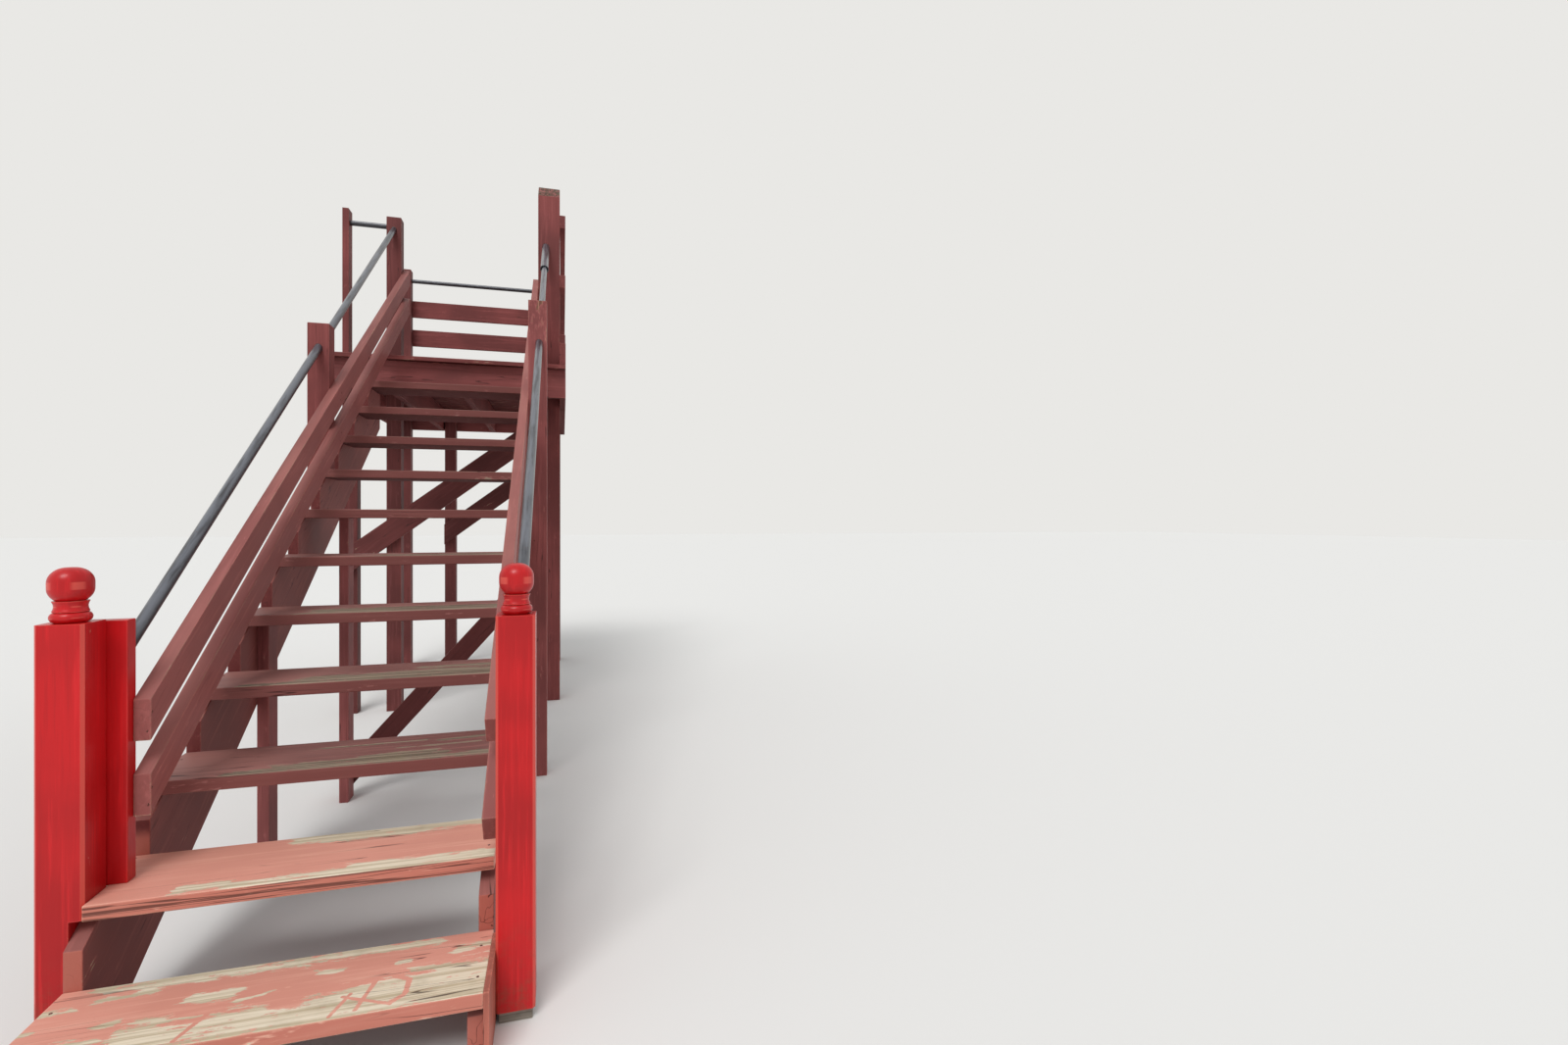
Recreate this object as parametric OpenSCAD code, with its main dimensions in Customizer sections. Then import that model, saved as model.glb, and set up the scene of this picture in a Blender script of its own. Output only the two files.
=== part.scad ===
// Timber fire escape stair: one straight open-riser flight up to a landing
// against a wall. X runs away from the wall, Y up the flight, Z up. All
// lengths are millimetres. The origin is the middle of the footprint, on
// the ground.

/* [Flight] */
// Height of each step
rise = 190; // [175:1:205]
// Level distance from one nosing to the next
going = 292; // [280:1:310]
// Height of the last step up onto the landing
last_rise = 200; // [170:1:230]
// Length of a tread, across the flight
tread_w = 932; // [800:1:1200]
// Depth of a tread board
tread_d = 280; // [250:1:292]
// Thickness of a tread board
tread_t = 38; // [32:1:44]

/* [Stringers] */
// Thickness of a stringer
stringer_t = 38; // [32:1:50]
// Width of the board that a stringer is cut from
stringer_h = 286; // [225:1:300]
// Height from the stringer's uncut top edge up to the line of the nosings
stringer_drop = 89; // [75:1:105]
// Distance of the stringer's foot behind the first nosing
foot_setback = 30; // [20:1:60]
// Thickness of the board that closes the right end of the first step
end_board_t = 13; // [12:1:25]

/* [Newels] */
// Side of the two newels
newel_w = 96; // [89:1:105]
// Side of the square posts
post_w = 89; // [75:1:92]
// Distance of the right newel's face behind the first nosing
newel_right_y = 165; // [100:1:190]
// Height of a newel's shoulder, under the turned ball
newel_shoulder = 1040; // [950:1:1150]
// How far the left newel laps over the end of the treads
newel_lap = 29; // [20:1:36]
// Distance of the left newel's face behind the second nosing
newel_left_back = 8; // [2:1:20]
// Width of the chamfer on a newel's edges
newel_chamfer = 6; // [2:1:10]
// Diameter of the blunt ball on a newel
ball_d = 86; // [80:1:88]
// Height of the ball, which is flat underneath
ball_h = 80; // [74:1:86]
// Radius of the ball's rounding, above and below its upright part
ball_round = 36; // [30:1:38]
// Height of the ball's upright part
ball_straight = 14; // [8:1:16]
// Diameter of the turned ring under the ball
ring_d = 79; // [68:1:86]
// Height of the turned ring
ring_h = 26; // [20:1:32]
// Diameter of the neck between the ring and the ball
neck_d = 68; // [62:1:74]
// Height of the neck
neck_h = 26; // [18:1:36]
// Depth of the hollow turned into the neck
cove_depth = 3; // [1:0.5:5]
// Radius of that hollow
cove_r = 21; // [18:1:30]
// Height of the block that each newel stands on
shoe_h = 30; // [20:1:40]
// How far the blocks stand back from the newels' faces
shoe_inset = 7; // [2:1:15]

/* [Posts on the flight] */
// Distance from the left ends of the treads to the inner face of the posts there
left_post_inset = 70; // [50:1:89]
// Depth of the short post behind the left newel, along the flight
backing_post_d = 38; // [36:1:60]
// Height of that short post, above the end of its pipe
backing_post_over = 120; // [60:1:150]
// Height of the left halfway post above the pipe
mid_post_left_over = 86; // [45:1:120]
// Height of the right halfway post above the pipe
mid_post_right_over = 186; // [60:1:240]
// Distance of the halfway posts behind the nosing of the eighth tread
mid_post_back = 6; // [0:1:40]

/* [Landing] */
// Length of the landing frame, along the flight
landing_l = 2167; // [1800:1:2600]
// Distance from the left ends of the treads to the wall
wall_distance = 281; // [200:1:400]
// Thickness of the deck boards
deck_t = 25; // [20:1:38]
// Width of a deck board
deck_board_w = 140; // [90:1:190]
// Gap between deck boards
deck_gap = 6; // [3:1:12]
// How far the first deck board stands out over the header
deck_overhang = 50; // [20:1:70]
// Depth of the joists, the header and the wall ledger
joist_h = 184; // [140:1:235]
// Thickness of the joists, legs and braces
joist_t = 38; // [32:1:50]
// Distance from the header to the front row of landing posts
front_row_back = 450; // [400:1:600]
// Side of the two heavy corner posts
corner_post_w = 146; // [120:1:160]
// Height of the front corner post above its pipe
front_corner_over = 438; // [300:1:500]
// Height of the back corner post above its pipe
back_corner_over = 185; // [120:1:240]
// Height of the front left landing post above its pipe
front_left_over = 55; // [40:1:120]
// Height of the thin post against the wall above the level pipe
wall_post_over = 83; // [40:1:150]
// Height of the back post at the wall above its pipe
back_wall_over = 89; // [60:1:150]
// Fall of the weathered cut across the top of a corner post
corner_top_fall = 118; // [10:1:140]
// Height of the guard's top edge rails above the deck, highest first
side_rail_over = 1165; // [1000:1:1200]
// Step from one side rail down to the next
side_rail_step = 425; // [350:1:450]
// Height of the toe board above the deck
toe_board_h = 140; // [89:1:184]
// Height of the end guard's upper board above the deck
end_rail_over = 925; // [850:1:980]
// Step from the end guard's upper board down to its lower one
end_rail_step = 254; // [200:1:320]
// Depth of the end guard's boards
end_rail_h = 140; // [89:1:160]

/* [Flight rails] */
// Thickness of the rail boards
rail_t = 38; // [32:1:44]
// Depth of the rail boards, square to their length
rail_h = 89; // [75:1:100]
// Height of the upper rail's top edge above the line of the nosings
upper_rail_over = 368; // [340:1:420]
// Height of the lower rail's top edge above the line of the nosings
lower_rail_over = 178; // [150:1:200]
// Where the left rails start, behind the front face of the short post
left_rails_start = 24; // [10:1:60]
// Where the upper right rail starts, behind the first nosing
right_upper_start = 293; // [270:1:320]
// Where the lower right rail starts, behind the first nosing
right_lower_start = 218; // [200:1:240]

/* [Handrail pipes] */
// Outer diameter of the pipes
pipe_d = 33.4; // [26:0.1:40]
// Wall of the pipes
pipe_wall = 3.4; // [2.5:0.1:4]
// Gap all round between a pipe or the sleeve and its hole
pipe_clear = 0.1; // [0.05:0.05:1]
// Distance of the right pipe's middle from the inner faces of its posts
right_pipe_in = 52; // [46:1:56]
// Wall of the wider sleeve on the right pipe
sleeve_wall = 3.7; // [2.5:0.1:4]
// Gap all round between the right pipe and the inside of its sleeve
sleeve_gap = 3.7; // [0.5:0.1:4]
// Length of the right pipe's sleeve, below the landing post
sleeve_l = 560; // [200:10:900]
// How far the sleeve runs on past the landing post
sleeve_past = 12; // [4:1:20]
// How deep the end of the right pipe goes into the newel
pipe_bite = 50; // [20:1:70]
// How deep the end of the left pipe goes into the short post
left_pipe_bite = 22; // [10:1:24]
// How deep the short level pipe goes into the left landing post
short_pipe_bite = 12; // [8:1:15]
// Height from the left pipe's lower end up to the newels' shoulders
left_pipe_under = 124; // [100:1:160]
// Height from the right pipe's lower end up to the newel's shoulder
right_pipe_under = 40; // [20:1:90]
// Height of the pipes above the deck, at the middle of the landing posts
pipe_over_deck = 972; // [920:1:1000]
// How far a pipe runs on past the landing post
pipe_past = 24; // [10:1:60]
// Height of the end guard's pipe above the deck
end_pipe_over = 1085; // [1040:1:1180]

/* [Legs and braces] */
// Width of the legs and of the thin brace
leg_w = 89; // [64:1:100]
// Distance of the left leg behind the nosing of the fifth tread
left_leg_back = 132; // [60:1:180]
// Distance from the left ends of the treads to the inner leg
inner_leg_x = 139; // [100:1:250]
// Distance of the inner leg behind the nosing of the seventh tread
inner_leg_back = 188; // [150:1:190]
// Height of the thin brace's middle at the inner leg
thin_brace_low = 80; // [70:1:200]
// Height of the thin brace's middle at the halfway post
thin_brace_high = 985; // [850:1:1000]
// Depth of the wide landing braces
brace_h = 140; // [89:1:160]
// Height of the front brace's middle at the wall
front_brace_low = 1000; // [800:1:1200]
// Height from the front brace's middle, at the corner post, up to the joists
front_brace_under = 106; // [95:1:250]
// How far the front brace laps onto its two outer posts
brace_lap = 70; // [40:1:85]
// Height of the back brace's middle at the back left post
back_brace_low = 1155; // [950:1:1300]
// Distance from the left ends of the treads to the back left post
back_left_post_x = 117; // [60:1:250]

/* [Hidden] */

// The landing is one step above the last tread
tread_count = 11;

// Treads counted from the ground up to the left newel, the halfway posts and the legs
count_to_newel = 2;
count_to_mid_post = 8;
count_to_left_leg = 5;
count_to_inner_leg = 7;

// Boards in the side guard and the end guard, and joists between header and end
side_rail_count = 3;
end_rail_count = 2;
joist_count = 3;

pitch = atan2(rise, going);
slope = rise / going;

// Along the flight: nosings, the header's face and the rows of posts
function nosing_y(n) = (n - 1) * going;
function riser_y(n) = nosing_y(n) + tread_d;
function nosing_line(y) = rise + slope * y;
function seat_z(n) = n * rise - tread_t;
header_y = riser_y(tread_count);
landing_end_y = header_y + landing_l;
newel_left_y = nosing_y(count_to_newel) + newel_left_back;
backing_post_y = newel_left_y + newel_w;
mid_post_y = nosing_y(count_to_mid_post) + mid_post_back;
front_row_y = header_y + front_row_back;
back_face_y = landing_end_y - joist_t;

// Across the flight: the wall, the posts and the outer face
wall_x = -wall_distance;
left_post_x = left_post_inset - post_w;
right_post_x = tread_w + end_board_t;
newel_left_x = newel_lap - newel_w;
corner_x = right_post_x + corner_post_w;
outer_x = corner_x + joist_t;

// Heights
deck_z = tread_count * rise + last_rise;
joist_top = deck_z - deck_t;
joist_bottom = joist_top - joist_h;
left_pipe_low = newel_shoulder - left_pipe_under;
right_pipe_low = newel_shoulder - right_pipe_under;
pipe_high = deck_z + pipe_over_deck;
front_left_top = pipe_high + front_left_over;
end_pipe_z = deck_z + end_pipe_over;

// The finished stair stands with the middle of its footprint on the origin
mid_x = (wall_x + outer_x) / 2;
front_y = 0;
mid_y = (front_y + landing_end_y) / 2;

paint = "#8c4a46";
worn_paint = "#a5625a";
bright_red = "#c42024";
black_pipe = "#2a2c30";
cut = 1;
$fn = 64;

module placed() {
    translate([-mid_x, -mid_y, 0]) children();
}

// A box from one corner, with its size
module board(corner, size) {
    translate(corner) cube(size);
}

// A flat outline in Y and Z, thickened along +X from x
module along_x(x, thick) {
    translate([x, 0, 0]) rotate([90, 0, 90]) linear_extrude(thick) children();
}

// A flat outline in X and Z, thickened along +Y from y
module along_y(y, thick) {
    translate([0, y + thick, 0]) rotate([90, 0, 0]) linear_extrude(thick) children();
}

// One notched stringer, cut from a plank
module stringer(x) {
    function top_edge(y) = nosing_line(y) - stringer_drop;
    function low_edge(y) = top_edge(y) - stringer_h / cos(pitch);
    heel_y = (stringer_h / cos(pitch) + stringer_drop - rise) / slope;
    color(paint) placed() along_x(x, stringer_t) difference() {
        polygon([[foot_setback, 0], [foot_setback, top_edge(foot_setback)],
            [header_y, top_edge(header_y)], [header_y, low_edge(header_y)], [heel_y, 0]]);
        for (n = [1:tread_count])
            translate([riser_y(n) - going, seat_z(n)]) square([going, going]);
    }
}

module stringer_left() { stringer(0); }
module stringer_right() { stringer(tread_w - stringer_t); }

// One tread board on the seats of both stringers
module tread(n) {
    board([0, nosing_y(n), seat_z(n)], [tread_w, tread_d, tread_t]);
}

module tread_01() { color(worn_paint) placed() tread(1); }

// The second tread is cut round the left newel
module tread_02() {
    color(worn_paint) placed() difference() {
        tread(2);
        board([-cut, nosing_y(count_to_newel) - cut, 0],
            [newel_lap + cut, newel_left_back + newel_w + cut, newel_shoulder]);
    }
}

module tread_03() { color(worn_paint) placed() tread(3); }
module tread_04() { color(worn_paint) placed() tread(4); }
module tread_05() { color(worn_paint) placed() tread(5); }
module tread_06() { color(paint) placed() tread(6); }
module tread_07() { color(paint) placed() tread(7); }
module tread_08() { color(paint) placed() tread(8); }
module tread_09() { color(paint) placed() tread(9); }
module tread_10() { color(paint) placed() tread(10); }
module tread_11() { color(paint) placed() tread(11); }

module step_end_board() {
    color(paint) placed() board([tread_w, 0, 0], [end_board_t, newel_right_y + newel_w, rise]);
}

// The square shaft of a newel, with chamfered edges
module newel_shaft() {
    c = newel_chamfer;
    w = newel_w;
    translate([0, 0, shoe_h]) linear_extrude(newel_shoulder - shoe_h)
        polygon([[c, 0], [w - c, 0], [w, c], [w, w - c], [w - c, w], [c, w], [0, w - c], [0, c]]);
}

// Half of the turned finial: a ring with a round edge, a hollow neck and a blunt ball
module finial_profile() {
    neck_r = neck_d / 2;
    edge_r = ring_h / 2;
    core_r = ball_d / 2 - ball_round;
    low_round_z = ball_h - ball_round - ball_straight;
    square([ring_d / 2 - edge_r, ring_h]);
    translate([ring_d / 2 - edge_r, edge_r]) circle(r = edge_r);
    translate([0, ring_h]) difference() {
        square([neck_r, neck_h]);
        translate([neck_r + cove_r - cove_depth, neck_h / 2]) circle(r = cove_r);
    }
    translate([0, ring_h + neck_h]) intersection() {
        union() {
            for (z = [low_round_z, low_round_z + ball_straight])
                translate([core_r, z]) circle(r = ball_round);
            translate([0, low_round_z]) square([ball_d / 2, ball_straight]);
            square([core_r, ball_h]);
        }
        square([ball_d / 2, ball_h]);
    }
}

module newel(x, y) {
    translate([x, y, 0]) newel_shaft();
    translate([x + newel_w / 2, y + newel_w / 2, newel_shoulder]) rotate_extrude() finial_profile();
}

// The left newel stands astride the stringer: its inner side is cut away below the tread
module newel_left() {
    color(bright_red) placed() difference() {
        newel(newel_left_x, newel_left_y);
        board([0, newel_left_y - cut, 0], [newel_lap + cut, newel_w + 2 * cut, seat_z(count_to_newel)]);
    }
}

module newel_right() {
    color(bright_red) placed() difference() {
        newel(right_post_x, newel_right_y);
        right_pipe(pipe_d + 2 * pipe_clear);
    }
}

// Bare blocks between the newels and the ground
module newel_shoes() {
    side = newel_w - 2 * shoe_inset;
    color("#8a8780") placed() {
        board([newel_left_x + shoe_inset, newel_left_y + shoe_inset, 0],
            [-newel_left_x - 2 * shoe_inset, side, shoe_h]);
        board([right_post_x + shoe_inset, newel_right_y + shoe_inset, 0], [side, side, shoe_h]);
    }
}

// A straight round bar between two points, given as [y, z], at one x.
// A pipe's hollow is such a bar too, and runs on past both ends.
module sloping_bar(x, low, high, d, past) {
    run = high[0] - low[0];
    climb = high[1] - low[1];
    translate([x, low[0], low[1]]) rotate([-atan2(run, climb), 0, 0])
        translate([0, 0, -past])
            cylinder(d = d, h = sqrt(run * run + climb * climb) + 2 * past);
}

// The handrail pipes end inside the first post and pass through the others.
// The left one starts from the post behind the newel.
left_pipe_x = left_post_x + post_w / 2;
left_pipe_y = backing_post_y + backing_post_d;
left_pipe_end = front_row_y + post_w + pipe_past;
left_pipe_slope = (pipe_high - left_pipe_low) / (front_row_y + post_w / 2 - left_pipe_y);
right_pipe_x = right_post_x + right_pipe_in;
right_pipe_y = newel_right_y + newel_w;
right_pipe_end = front_row_y + corner_post_w + pipe_past;
right_pipe_slope = (pipe_high - right_pipe_low) / (front_row_y + corner_post_w / 2 - right_pipe_y);
sleeve_bore = pipe_d + 2 * sleeve_gap;
sleeve_d = sleeve_bore + 2 * sleeve_wall;

function left_pipe_z(y) = left_pipe_low + left_pipe_slope * (y - left_pipe_y);
function right_pipe_z(y) = right_pipe_low + right_pipe_slope * (y - right_pipe_y);
mid_pipe_y = mid_post_y + post_w / 2;

module left_pipe(d, past = 0) {
    start_y = left_pipe_y - left_pipe_bite;
    sloping_bar(left_pipe_x, [start_y, left_pipe_z(start_y)],
        [left_pipe_end, left_pipe_z(left_pipe_end)], d, past);
}

module right_pipe(d, past = 0) {
    start_y = right_pipe_y - pipe_bite;
    sloping_bar(right_pipe_x, [start_y, right_pipe_z(start_y)],
        [right_pipe_end, right_pipe_z(right_pipe_end)], d, past);
}

module handrail_pipe_left() {
    color(black_pipe) placed() difference() {
        left_pipe(pipe_d);
        left_pipe(pipe_d - 2 * pipe_wall, cut);
    }
}

module handrail_pipe_right() {
    color(black_pipe) placed() difference() {
        right_pipe(pipe_d);
        right_pipe(pipe_d - 2 * pipe_wall, cut);
    }
}

// A wider sleeve over the top of the right pipe, through the corner post
module sleeve_bar(d, past) {
    start_y = front_row_y - sleeve_l * cos(pitch);
    end_y = front_row_y + corner_post_w + sleeve_past;
    sloping_bar(right_pipe_x, [start_y, right_pipe_z(start_y)], [end_y, right_pipe_z(end_y)],
        d, past);
}

module pipe_sleeve() {
    color(black_pipe) placed() difference() {
        sleeve_bar(sleeve_d, 0);
        sleeve_bar(sleeve_bore, cut);
    }
}

module newel_backing_post() {
    foot_z = count_to_newel * rise;
    top = left_pipe_low + backing_post_over;
    color(bright_red) placed() difference() {
        board([left_post_x, backing_post_y, foot_z], [post_w, backing_post_d, top - foot_z]);
        left_pipe(pipe_d + 2 * pipe_clear);
    }
}

// The left halfway post stands on a tread, the right one on the ground
module mid_post_left() {
    foot_z = count_to_mid_post * rise;
    top = left_pipe_z(mid_pipe_y) + mid_post_left_over;
    color(paint) placed() difference() {
        board([left_post_x, mid_post_y, foot_z], [post_w, post_w, top - foot_z]);
        left_pipe(pipe_d + 2 * pipe_clear);
    }
}

module mid_post_right() {
    top = right_pipe_z(mid_pipe_y) + mid_post_right_over;
    color(paint) placed() difference() {
        board([right_post_x, mid_post_y, 0], [post_w, post_w, top]);
        right_pipe(pipe_d + 2 * pipe_clear);
    }
}

// Landing posts. The front row's near faces line up, and so do the back row's far faces.
module landing_post_front_left() {
    color(paint) placed() difference() {
        board([left_post_x, front_row_y, 0], [post_w, post_w, front_left_top]);
        left_pipe(pipe_d + 2 * pipe_clear);
        wall_gap_bar(pipe_d + 2 * pipe_clear);
    }
}

// A heavy post with a top that falls towards the foot of the stair
module corner_post(y, top) {
    along_x(right_post_x, corner_post_w)
        polygon([[y, 0], [y + corner_post_w, 0], [y + corner_post_w, top], [y, top - corner_top_fall]]);
}

module landing_post_front_right() {
    color(paint) placed() difference() {
        corner_post(front_row_y, pipe_high + front_corner_over);
        right_pipe(sleeve_d + 2 * pipe_clear);
    }
}

module landing_post_front_wall() {
    color(paint) placed() board([wall_x, front_row_y, 0], [post_w, post_w, joist_bottom]);
}

module landing_post_back_left() {
    color(paint) placed()
        board([back_left_post_x, back_face_y - post_w, 0], [post_w, post_w, joist_top]);
}

module landing_post_back_right() {
    color(paint) placed() difference() {
        corner_post(back_face_y - corner_post_w, end_pipe_z + back_corner_over);
        end_guard_bar(pipe_d + 2 * pipe_clear);
    }
}

module landing_post_back_wall() {
    color(paint) placed() difference() {
        board([wall_x + joist_t, back_face_y - post_w, 0],
            [post_w, post_w, end_pipe_z + back_wall_over]);
        end_guard_bar(pipe_d + 2 * pipe_clear);
    }
}

module wall_post() {
    color(paint) placed() difference() {
        board([wall_x, front_row_y, deck_z], [joist_t, post_w, pipe_high + wall_post_over - deck_z]);
        wall_gap_bar(pipe_d + 2 * pipe_clear);
    }
}

// The level pipes: one closes the gap at the wall, one tops the end guard
module wall_gap_bar(d, past = 0) {
    translate([wall_x - past, front_row_y + post_w / 2, pipe_high]) rotate([0, 90, 0])
        cylinder(d = d, h = left_post_x - wall_x + short_pipe_bite + 2 * past);
}

module wall_gap_pipe() {
    color(black_pipe) placed() difference() {
        wall_gap_bar(pipe_d);
        wall_gap_bar(pipe_d - 2 * pipe_wall, cut);
    }
}

module end_guard_bar(d, past = 0) {
    translate([wall_x + joist_t - past, back_face_y - post_w / 2, end_pipe_z])
        rotate([0, 90, 0]) cylinder(d = d, h = corner_x - wall_x - joist_t + 2 * past);
}

module end_guard_pipe() {
    color(black_pipe) placed() difference() {
        end_guard_bar(pipe_d);
        end_guard_bar(pipe_d - 2 * pipe_wall, cut);
    }
}

// Rail boards that follow the pitch. The left pair is cut plumb at the foot,
// the right pair square. All four are plumb at the landing posts.
module plumb_rail(over, start_y, end_y) {
    depth = rail_h / cos(pitch);
    polygon([[start_y, nosing_line(start_y) + over], [end_y, nosing_line(end_y) + over],
        [end_y, nosing_line(end_y) + over - depth], [start_y, nosing_line(start_y) + over - depth]]);
}

module square_rail(over, start_y, end_y) {
    depth = rail_h / cos(pitch);
    low_y = start_y + rail_h * sin(pitch);
    polygon([[start_y, nosing_line(start_y) + over], [end_y, nosing_line(end_y) + over],
        [end_y, nosing_line(end_y) + over - depth], [low_y, nosing_line(low_y) + over - depth]]);
}

module rails_left() {
    start_y = backing_post_y + left_rails_start;
    color(paint) placed() along_x(left_post_inset, rail_t)
        for (over = [upper_rail_over, lower_rail_over])
            plumb_rail(over, start_y, front_row_y + post_w);
}

module rails_right() {
    color(paint) placed() along_x(right_post_x - rail_t, rail_t) {
        square_rail(upper_rail_over, right_upper_start, front_row_y + corner_post_w);
        square_rail(lower_rail_over, right_lower_start, front_row_y + corner_post_w);
    }
}

// Three rails on the outer faces of the corner posts, and a toe board that stands on the deck
module side_guard_boards() {
    color(paint) placed() {
        for (i = [0:side_rail_count - 1])
            board([corner_x, front_row_y, deck_z + side_rail_over - i * side_rail_step - rail_h],
                [rail_t, landing_end_y - front_row_y, rail_h]);
        board([corner_x, header_y - deck_overhang, deck_z],
            [joist_t, landing_l + deck_overhang, toe_board_h]);
    }
}

module end_guard_rails() {
    color(paint) placed() for (i = [0:end_rail_count - 1])
        board([wall_x + joist_t, back_face_y, deck_z + end_rail_over - i * end_rail_step - end_rail_h],
            [corner_x - wall_x - joist_t, rail_t, end_rail_h]);
}

// Deck boards across the landing, cut round the posts that pass through them
module deck_boards() {
    start_y = header_y - deck_overhang;
    pitch_y = deck_board_w + deck_gap;
    last = floor((landing_end_y - start_y) / pitch_y);
    color(worn_paint) placed() difference() {
        for (i = [0:last])
            board([wall_x, start_y + i * pitch_y, joist_top],
                [outer_x - wall_x, min(deck_board_w, landing_end_y - start_y - i * pitch_y), deck_t]);
        post_hole(left_post_x, front_row_y, post_w);
        post_hole(right_post_x, front_row_y, corner_post_w);
        post_hole(right_post_x, back_face_y - corner_post_w, corner_post_w);
        post_hole(wall_x + joist_t, back_face_y - post_w, post_w);
    }
}

module post_hole(x, y, side) {
    board([x, y, joist_top - cut], [side, side, deck_t + 2 * cut]);
}

// The landing's frame: header, outer joist, end joist, ledger and three joists
module landing_header() {
    color(paint) placed()
        board([wall_x, header_y, joist_bottom], [outer_x - wall_x, joist_t, joist_h]);
}

module landing_side_joist() {
    color(paint) placed()
        board([corner_x, header_y + joist_t, joist_bottom], [joist_t, landing_l - joist_t, joist_h]);
}

module landing_end_joist() {
    color(paint) placed()
        board([wall_x, back_face_y, joist_bottom], [corner_x - wall_x, joist_t, joist_h]);
}

module wall_ledger() {
    color(paint) placed()
        board([wall_x, header_y + joist_t, joist_bottom],
            [joist_t, back_face_y - header_y - joist_t, joist_h]);
}

// The outer two lie against the posts of the front row
module landing_joists() {
    step = (right_post_x - joist_t - left_post_inset) / (joist_count - 1);
    color(paint) placed() for (i = [0:joist_count - 1])
        board([left_post_inset + i * step, header_y + joist_t, joist_bottom],
            [joist_t, back_face_y - header_y - joist_t, joist_h]);
}

// Two legs under the treads: one on the left stringer's inner face, one further in
inner_leg_y = nosing_y(count_to_inner_leg) + inner_leg_back;
module flight_legs() {
    color(paint) placed() {
        board([stringer_t, nosing_y(count_to_left_leg) + left_leg_back, 0],
            [joist_t, leg_w, seat_z(count_to_left_leg)]);
        board([inner_leg_x, inner_leg_y, 0], [joist_t, leg_w, seat_z(count_to_inner_leg)]);
    }
}

// The outline of a brace between two points, given as [x, z], with plumb ends
module brace_outline(low, high, depth) {
    tilt = atan2(high[1] - low[1], high[0] - low[0]);
    half = depth / 2 / cos(tilt);
    polygon([[low[0], low[1] - half], [high[0], high[1] - half],
        [high[0], high[1] + half], [low[0], low[1] + half]]);
}

// From the foot of the inner leg up to the right halfway post
module flight_cross_brace() {
    color(paint) placed() along_y(inner_leg_y + leg_w, joist_t)
        brace_outline([inner_leg_x, thin_brace_low], [right_post_x, thin_brace_high], leg_w);
}

// One brace on the near faces of each row of landing posts
module landing_braces() {
    front_low_x = wall_x + post_w - brace_lap;
    front_high_x = right_post_x + brace_lap;
    front_brace_high = joist_bottom - front_brace_under;
    brace_slope = (front_brace_high - front_brace_low) / (front_high_x - front_low_x);
    back_run = right_post_x - back_left_post_x;
    color(paint) placed() {
        along_y(front_row_y - joist_t, joist_t)
            brace_outline([front_low_x, front_brace_low], [front_high_x, front_brace_high], brace_h);
        along_y(back_face_y - post_w - joist_t, joist_t)
            brace_outline([back_left_post_x, back_brace_low],
                [right_post_x, back_brace_low + brace_slope * back_run], brace_h);
    }
}

stringer_left();
stringer_right();
tread_01();
tread_02();
tread_03();
tread_04();
tread_05();
tread_06();
tread_07();
tread_08();
tread_09();
tread_10();
tread_11();
step_end_board();
newel_shoes();
newel_left();
newel_right();
newel_backing_post();
mid_post_left();
mid_post_right();
landing_post_front_left();
landing_post_front_right();
landing_post_front_wall();
landing_post_back_left();
landing_post_back_right();
landing_post_back_wall();
wall_post();
rails_left();
rails_right();
handrail_pipe_left();
handrail_pipe_right();
pipe_sleeve();
wall_gap_pipe();
end_guard_pipe();
side_guard_boards();
end_guard_rails();
deck_boards();
landing_header();
landing_side_joist();
landing_end_joist();
wall_ledger();
landing_joists();
flight_legs();
flight_cross_brace();
landing_braces();
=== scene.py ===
"""A timber fire escape stair in old red paint, dressed round its solid frame."""

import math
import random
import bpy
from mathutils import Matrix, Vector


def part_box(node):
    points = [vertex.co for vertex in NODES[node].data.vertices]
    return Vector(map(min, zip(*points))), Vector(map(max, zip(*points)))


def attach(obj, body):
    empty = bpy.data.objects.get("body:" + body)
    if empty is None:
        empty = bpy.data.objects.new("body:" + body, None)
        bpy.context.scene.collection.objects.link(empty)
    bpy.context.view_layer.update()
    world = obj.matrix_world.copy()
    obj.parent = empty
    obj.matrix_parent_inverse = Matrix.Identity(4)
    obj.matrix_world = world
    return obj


bl_info = {
    "name": "Timber fire escape stair",
    "version": (1, 0, 0),
    "blender": (4, 5, 0),
    "location": "View3D > Sidebar > Fire stair",
    "description": "Paint, wear, fixings and stage for a timber fire escape stair",
    "category": "Object",
}

import bmesh
import bpy
from mathutils import Matrix, Vector

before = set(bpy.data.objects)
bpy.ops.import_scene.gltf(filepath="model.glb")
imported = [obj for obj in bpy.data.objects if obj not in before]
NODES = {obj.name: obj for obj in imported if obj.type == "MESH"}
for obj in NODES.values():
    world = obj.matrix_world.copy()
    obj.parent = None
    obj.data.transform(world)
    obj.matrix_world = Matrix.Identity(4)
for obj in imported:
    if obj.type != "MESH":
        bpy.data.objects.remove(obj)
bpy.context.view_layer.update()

MM = 0.001

# Steps and slope of the flight, read off the frame
TREADS = [f"tread_{n:02d}" for n in range(1, 12)]
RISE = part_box("tread_02")[1].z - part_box("tread_01")[1].z
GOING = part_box("tread_02")[0].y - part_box("tread_01")[0].y
SLOPE = RISE / GOING
PITCH = math.atan2(RISE, GOING)

# Boards that nails and grain follow
RAIL_H = 0.089
RAIL_STEP = 0.19
RAIL_DEPTH = RAIL_H / math.cos(PITCH)
DECK_PITCH = 0.146
BRACE_H = {"flight_cross_brace": 0.089, "landing_braces": 0.14}

# Turns that bring a board's grain onto X
GRAIN_X = (0.0, 0.0, 0.0)
GRAIN_Y = (0.0, 0.0, -math.pi / 2)
GRAIN_Z = (0.0, math.pi / 2, 0.0)
GRAIN_PITCH = (-PITCH, 0.0, -math.pi / 2)

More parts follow.
